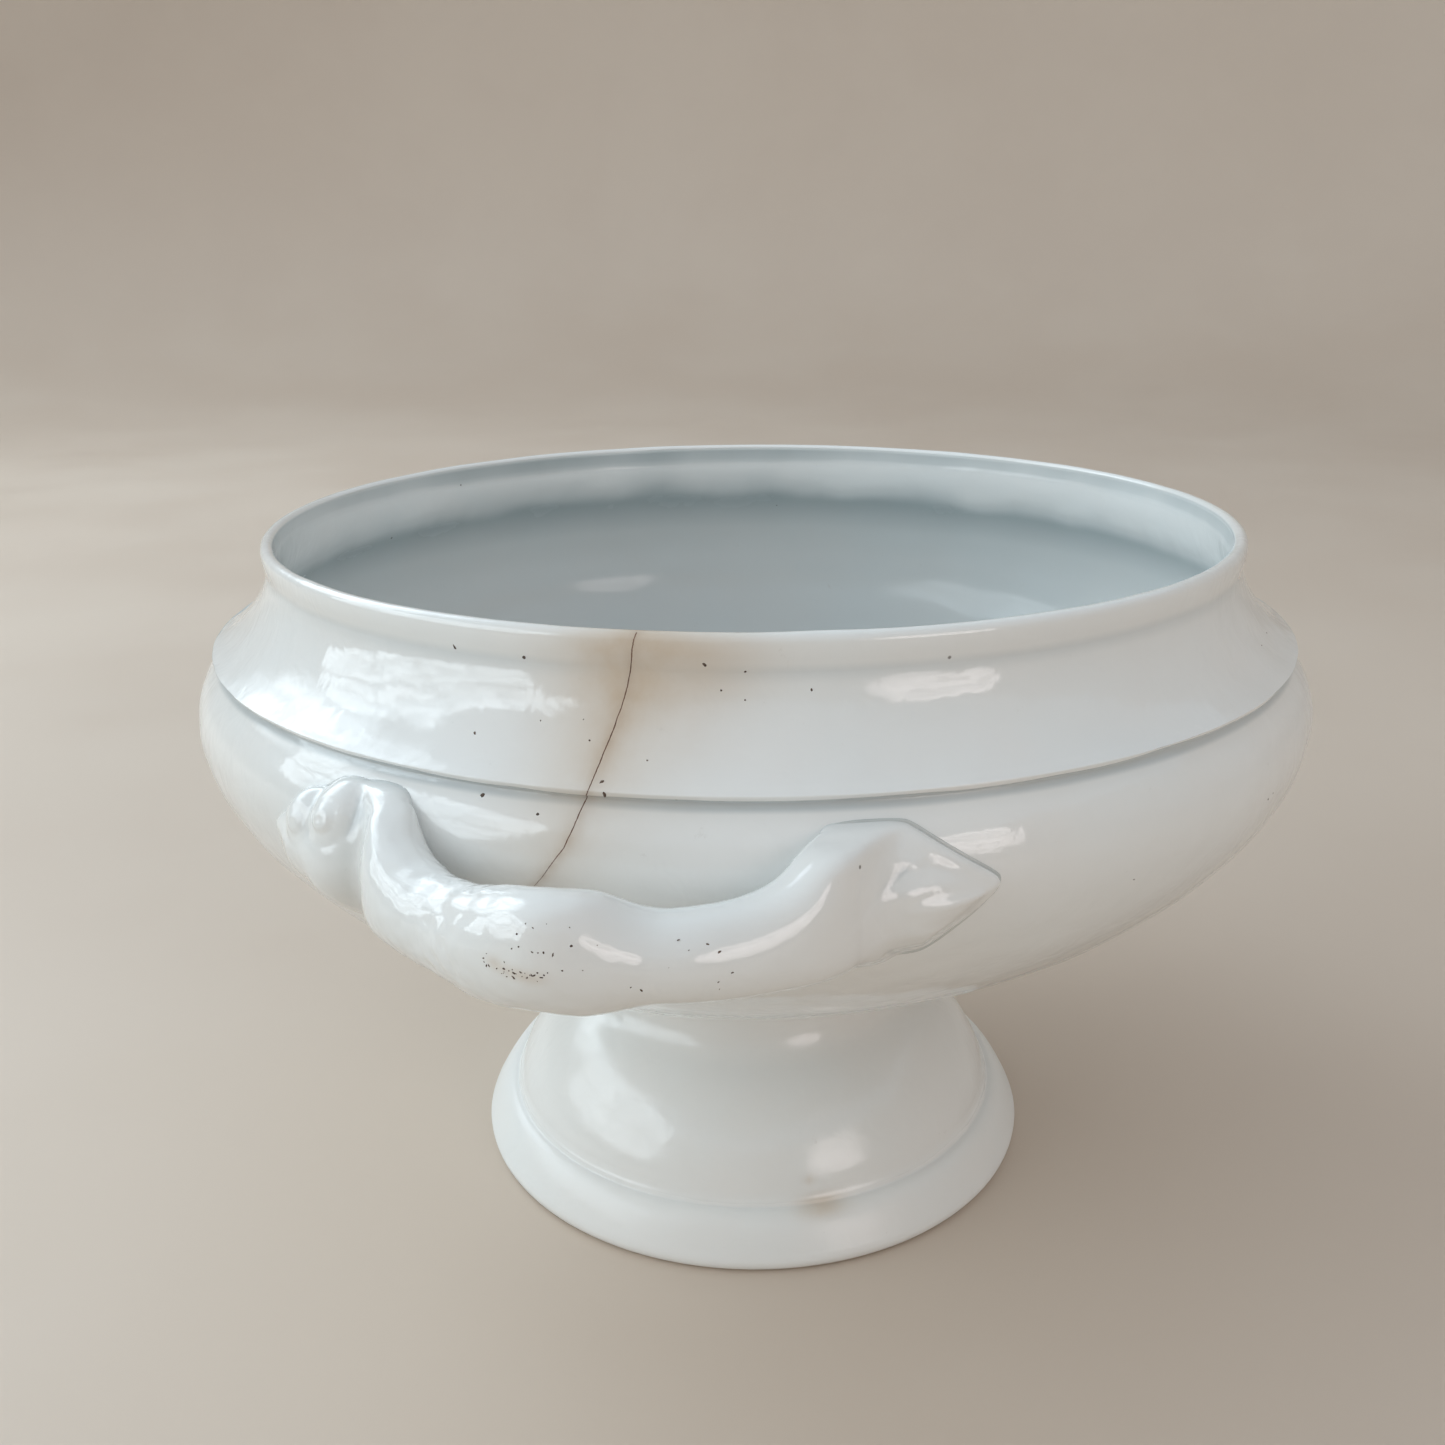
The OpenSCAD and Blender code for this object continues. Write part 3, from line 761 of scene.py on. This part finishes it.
grid_low = np.array([108.0, -68.5, LEAF_Z + LEAF_BOTTOM - 2])
grid_high = np.array([166.5, 68.5, LEAF_Z + LEAF_TOP + 4])
handle_skin, handle_faces = skin(handle_field, grid_low, grid_high, CELL)
for _ in range(4):  # each point is moved onto the exact surface
    slope = gradient(handle_field, handle_skin)
    step = handle_field(handle_skin) / np.maximum((slope * slope).sum(1), 0.2)
    handle_skin -= slope * np.clip(step, -0.6, 0.6)[:, None]
handle_normal = gradient(handle_field, handle_skin, 0.15)
handle_normal /= np.linalg.norm(handle_normal, axis=1)[:, None]
# how the surface bends over a small reach: negative in hollows, where glaze pools and shade is painted
BEND_REACH = 1.3
bend = -6 * handle_field(handle_skin)
for i in range(3):
    offset = np.zeros(3)
    offset[i] = BEND_REACH
    bend += handle_field(handle_skin + offset) + handle_field(handle_skin - offset)
bend /= BEND_REACH ** 2
over_wall = np.hypot(handle_skin[:, 0], handle_skin[:, 1]) - belly_r(handle_skin[:, 2])


def turned(points, degrees):
    """The points turned about Z."""
    a = math.radians(degrees)
    m = np.array([[math.cos(a), -math.sin(a), 0], [math.sin(a), math.cos(a), 0], [0, 0, 1]])
    return points @ m.T


def handle_unevenness(p, seed):
    """Hand-made ripples in the glaze, strongest on one shoulder of the bar."""
    free = smooth((over_wall - 0.8) / 4)
    bar = smooth((28 - np.abs(p[:, 1])) / 10)
    shoulder = np.exp(-((p[:, 1] + 20) / 11.0) ** 2)
    broad = waves(p, 0.07, 9, 24, seed) * free
    small = waves(p, 0.026, 2.4, 5.5, seed + 1) * free * (0.3 + 0.3 * bar + 1.8 * shoulder)
    return broad + small - 0.12 * free


def slip_bead(name, sign, turn):
    """Meniscus of glaze round a leaf, on the bowl's wall, darker blue-grey as painted shade along the
    contact. sign is the side of the handle in Y.
    """
    outline = OUTLINE * 1.01  # a hair outside the leaf
    angle = np.radians(LEAF_ANGLE + outline[:, 0] / ARC_MM)
    z = LEAF_Z + outline[:, 1]
    r = belly_r(z) - 0.15
    line = np.c_[r * np.cos(angle), r * np.sin(angle) * sign, z]
    way = np.roll(line, -1, axis=0) - np.roll(line, 1, axis=0)
    way /= np.linalg.norm(way, axis=1)[:, None]
    out = line * [1, 1, 0]
    out /= np.linalg.norm(out, axis=1)[:, None]
    across = np.cross(way, out)
    sides, count = 10, len(line)
    half_width, half_height = 0.45, 0.4
    rings = np.array([line + across * half_width * math.cos(a) + out * half_height * math.sin(a)
                      for a in around(sides)])
    faces = []
    for i in range(count):
        a, b = i * sides, (i + 1) % count * sides
        faces += [[a + j, a + (j + 1) % sides, b + (j + 1) % sides, b + j] for j in range(sides)]
    points = turned(rings.transpose(1, 0, 2).reshape(-1, 3), turn)
    finish_piece(make_mesh(name + "_bead", points, faces, slip_glaze_shade), "joint_slip", name)


def bar_haze(points):
    """Tan haze on the near side of the bar: spots by their y, z and half width."""
    haze = np.zeros(len(points))
    for y, z, size in ((-6.0, 127.8, 1.4), (-3.0, 127.0, 2.8), (0.2, 126.6, 2.4)):
        away = ((points[:, 1] - y) / size) ** 2 + ((points[:, 2] - z) / 1.1) ** 2
        haze += 0.8 * np.exp(-away) * (points[:, 0] > 155)
    return np.clip(haze, 0, 1)


# blue-grey in creases as pooled glaze and painted shade, plus painted shade where the handle meets the wall
pool_and_shade = np.clip(-bend * 1.1 - 0.05, 0, 1) + 0.45 * np.exp(-(np.maximum(over_wall, 0) / 0.7) ** 2)
skins = {}
for side, turn, seed in (("right", 0, 21), ("left", 180, 57)):
    skins[side] = handle_skin + handle_normal * handle_unevenness(handle_skin, seed)[:, None]
    haze = bar_haze(skins[side]) if side == "right" else np.zeros(len(handle_skin))
    handle = make_mesh("handle_" + side + "_body", turned(skins[side], turn), handle_faces.tolist(),
                       handle_glaze, {"pool_and_shade": np.clip(pool_and_shade, 0, 1), "stain": haze})
    finish_piece(handle, "handle_glaze", "handle_" + side)
    slip_bead("handle_" + side + "_slip_a", 1, turn)
    slip_bead("handle_" + side + "_slip_b", -1, turn)


# ---------------------------------------------------------------- the crack and the iron specks
def outer_frame(azimuth, z):
    """A point on the bowl's outer skin, with its normal and the direction round the bowl."""
    a = math.radians(azimuth)
    r0, r1 = outer_r(z - 0.4), outer_r(z + 0.4)
    normal = np.array([0.8 * math.cos(a), 0.8 * math.sin(a), r0 - r1])
    normal /= np.linalg.norm(normal)
    point = np.array([outer_r(z) * math.cos(a), outer_r(z) * math.sin(a), z])
    point = point + normal * bowl_displace(point[None, :])[0]
    return point, normal, np.array([-math.sin(a), math.cos(a), 0])


def ribbon(name, azimuths, heights, half_width, material, slot, seed):
    """A thin closed strip that follows the bowl's skin."""
    local = np.random.default_rng(seed)
    count = 150
    t = np.linspace(0, 1, count)
    key = np.linspace(0, 1, len(azimuths))
    az = np.interp(t, key, azimuths)
    z = np.interp(t, key, heights)
    jitter = np.cumsum(local.normal(size=count)) * 0.012
    jitter -= np.linspace(jitter[0], jitter[-1], count)
    points = []
    for i in range(count):
        p, n, round_ = outer_frame(az[i] + jitter[i], z[i])
        w = half_width * (0.7 + 0.4 * local.random()) * (0.35 + 0.65 * min(1, (1 - t[i]) * 5))
        points += [p - round_ * w + n * 0.01, p + n * 0.045, p + round_ * w + n * 0.01, p - n * 0.25]
    last = (count - 1) * 4
    faces = [[3, 2, 1, 0], [last, last + 1, last + 2, last + 3]]
    for a in range(0, last, 4):
        faces += [[a + j, a + (j + 1) % 4, a + 4 + (j + 1) % 4, a + 4 + j] for j in range(4)]
    finish_piece(make_mesh(name, points, faces, material), slot)


ribbon("hairline_crack", CRACK_AZ, CRACK_Z, 0.11, crack_material, "bowl_glaze", 5)

rng = np.random.default_rng(11)
SPECK_SIDES = 9


def specks(name, places, material, slot):
    """Small closed discs at the places: point, normal, radius and how much longer than wide."""
    points, faces = [], []
    for p, n, size, stretch in places:
        n = n / np.linalg.norm(n)
        a = np.cross(n, [0.3, 0.2, 0.93])
        a /= np.linalg.norm(a)
        b = np.cross(n, a)
        spin = rng.uniform(0, math.pi)
        a, b = a * math.cos(spin) + b * math.sin(spin), b * math.cos(spin) - a * math.sin(spin)
        start = len(points)
        for w in around(SPECK_SIDES):
            uneven = 1 + 0.15 * rng.normal()
            points.append(p + (a * math.cos(w) * stretch + b * math.sin(w)) * size * uneven - n * 0.005)
        points += [p + n * 0.05, p - n * 0.2]
        top, bottom = start + SPECK_SIDES, start + SPECK_SIDES + 1
        for k in range(SPECK_SIDES):
            one, two = start + k, start + (k + 1) % SPECK_SIDES
            faces += [[one, two, top], [two, one, bottom]]
    finish_piece(make_mesh(name, points, faces, material), slot)


# The specks that the photo shows near the crack: azimuth in degrees, height, radius, stretch
SPECKS = [(-15.7, 160.5, 0.34, 2.2), (-8.5, 160.3, 0.42, 1.2), (-11.9, 147.7, 0.30, 1.6),
          (-9.6, 139.3, 0.5, 1.3), (0.2, 143.6, 0.42, 1.4), (-4.6, 137.8, 0.34, 1.2),
          (6.0, 141.2, 0.3, 1.3), (7.7, 160.9, 0.36, 1.5), (9.1, 156.7, 0.26, 1.2),
          (11.1, 159.7, 0.3, 1.1), (11.1, 155.2, 0.22, 1.0), (-1.6, 148.5, 0.2, 1.3),
          (-6.3, 150.7, 0.2, 1.0), (16.7, 156.6, 0.25, 1.4), (3.4, 146.4, 0.22, 1.0),
          (0.6, 141.9, 0.4, 1.9)]
places = []
for az, z, size, stretch in SPECKS:
    p, n, _ = outer_frame(az, z)
    places.append((p, n, size * 0.8, stretch))
for _ in range(70):
    az, z = rng.uniform(-180, 180), rng.uniform(84, 163)
    if 138.5 < z < 143.5:  # none on the step
        continue
    p, n, _ = outer_frame(az, z)
    places.append((p, n, rng.uniform(0.08, 0.24), rng.uniform(1, 1.8)))
specks("bowl_specks", places, iron_material, "bowl_glaze")

# Small dark specks on the near bar, in groups: middle y and z, their spreads, and how many
BAR_GROUPS = [(-1.6, 127.0, 2.4, 0.45, 30), (-7.6, 127.6, 0.4, 0.9, 5),
              (2.5, 131.5, 4.0, 2.2, 14), (22.0, 126.0, 7.0, 2.5, 10)]
bar_specks = []
reachable = np.flatnonzero(skins["right"][:, 0] > 150)
near = skins["right"][reachable]
for centre_y, centre_z, spread_y, spread_z, count in BAR_GROUPS:
    for _ in range(count):
        y, z = rng.normal(centre_y, spread_y), rng.normal(centre_z, spread_z)
        closest = np.argmin((near[:, 1] - y) ** 2 + (near[:, 2] - z) ** 2 - 0.02 * near[:, 0])
        normal = handle_normal[reachable[closest]]
        shift = np.cross(normal, rng.normal(size=3)) * 0.35
        bar_specks.append((near[closest] + shift, normal, rng.uniform(0.06, 0.18), rng.uniform(1, 2.4)))
specks("handle_specks", bar_specks, iron_material, "handle_glaze")

# ---------------------------------------------------------------- stage: floor, light and camera
FLOOR_REACH, WALL_REACH, WALL_H = 1500.0, 2300.0, 1500.0
floor_material = plain_material("floor", rgb(0.625, 0.535, 0.45), rgb(0.65, 0.565, 0.48), 0.55, 3.0)
floor_bend = curve([FLOOR_REACH, 0], [WALL_REACH - 150, 0], [WALL_REACH, 150], [WALL_REACH, 800], 24)
floor_profile = join([[400.0, 0.0]], [[FLOOR_REACH, 0.0]], floor_bend, [[WALL_REACH, WALL_H]])
TURNS = 96
stage_points = [[0.0, 0.0, 0.0]]
for r, z in floor_profile:
    stage_points += [[r * math.cos(a), r * math.sin(a), z] for a in around(TURNS)]
stage_faces = [[0, 1 + k, 1 + (k + 1) % TURNS] for k in range(TURNS)]
for i in range(len(floor_profile) - 1):
    a, b = 1 + i * TURNS, 1 + (i + 1) * TURNS
    stage_faces += [[a + k, b + k, b + (k + 1) % TURNS, a + (k + 1) % TURNS] for k in range(TURNS)]
make_mesh("floor", stage_points, stage_faces, floor_material)

bpy.context.scene.view_settings.view_transform = "Standard"
world = bpy.data.worlds.new("studio")
bpy.context.scene.world = world
world.use_nodes = True
background = world.node_tree.nodes["Background"]
background.inputs["Color"].default_value = rgb(0.885, 0.945, 1.0)
background.inputs["Strength"].default_value = 0.64


def window(name, azimuth, elevation, distance, size, panes, glow, colour, corner=5.0, haze=0.5):
    """A soft window that faces the bowl. size and panes are across and up, glow is its brightness.

    Higher corner values make its corners squarer, and haze is how soft its edge is.
    """
    data = bpy.data.lights.new(name, "AREA")
    data.shape = "RECTANGLE"
    data.size, data.size_y = size
    data.energy = glow * math.pi * size[0] * size[1]
    data.color = colour
    data.use_nodes = True
    n = Nodes(data.node_tree)
    n.coords = n.node("ShaderNodeNewGeometry").outputs["Parametric"]  # 0 to 1 across and up the window
    split = n.node("ShaderNodeSeparateXYZ")
    n.link(n.coords, split.inputs[0])
    strength = n.between(n.noise(5.0, 4.0, 0.6, 0.8), 0.36, 0.62, 0.45, 1.0)
    spread = 0.0
    for coordinate, count in zip(split.outputs[:2], panes):
        if count > 1:
            # darker glazing bars between the panes
            pane = n.maths("FRACT", n.maths("MULTIPLY", coordinate, float(count)))
            off_middle = n.maths("ABSOLUTE", n.maths("SUBTRACT", pane, 0.5))
            strength = n.maths("MULTIPLY", n.between(off_middle, 0.38, 0.50, 1.0, 0.45), strength)
        edge = n.maths("MULTIPLY", n.maths("ABSOLUTE", n.maths("SUBTRACT", coordinate, 0.5)), 2.0)
        spread = n.maths("ADD", n.maths("POWER", edge, corner), spread)
    strength = n.maths("MULTIPLY", n.between(spread, 1.0 - 0.9 * haze, 1.0, 1.0, 0.0), strength)
    emission = next(node for node in n.tree.nodes if node.type == "EMISSION")
    n.put(emission.inputs["Strength"], n.maths("MULTIPLY", strength, 1.35))
    obj = bpy.data.objects.new(name, data)
    obj.visible_camera = False
    bpy.context.scene.collection.objects.link(obj)
    a, e = math.radians(azimuth), math.radians(elevation)
    way = Vector((math.cos(a) * math.cos(e), math.sin(a) * math.cos(e), math.sin(e)))
    obj.location = Vector((0, 0, 0.11)) + way * distance
    obj.rotation_euler = way.to_track_quat("Z", "Y").to_euler()


window("window_left", -62, 24, 1.6, (1.75, 0.98), (4, 2), 2.8, (0.82, 0.93, 1.0))
window("window_right", 50, 17, 1.6, (0.74, 0.80), (1, 1), 2.7, (1.0, 0.92, 0.92), 2.4, 0.35)
window("daylight", -115, 36, 1.9, (1.8, 1.5), (1, 1), 3.4, (0.80, 0.92, 1.0), 2.0, 1.0)

# The camera as the photo shows the bowl, in metres, from a fit to the bowl's own circles
camera_data = bpy.data.cameras.new("camera")
camera_data.lens = 34.63
camera_data.sensor_width = 36.0
camera = bpy.data.objects.new("camera", camera_data)
bpy.context.scene.collection.objects.link(camera)
right = Vector((-0.21822, 0.97585, -0.00970))
upward = Vector((-0.32210, -0.06264, 0.94463))
forward = Vector((-0.92121, -0.20927, -0.32799))
turn = Matrix((right, upward, -forward)).transposed().to_4x4()
camera.matrix_world = Matrix.Translation((0.3303, 0.0676, 0.2282)) @ turn
bpy.context.scene.camera = camera
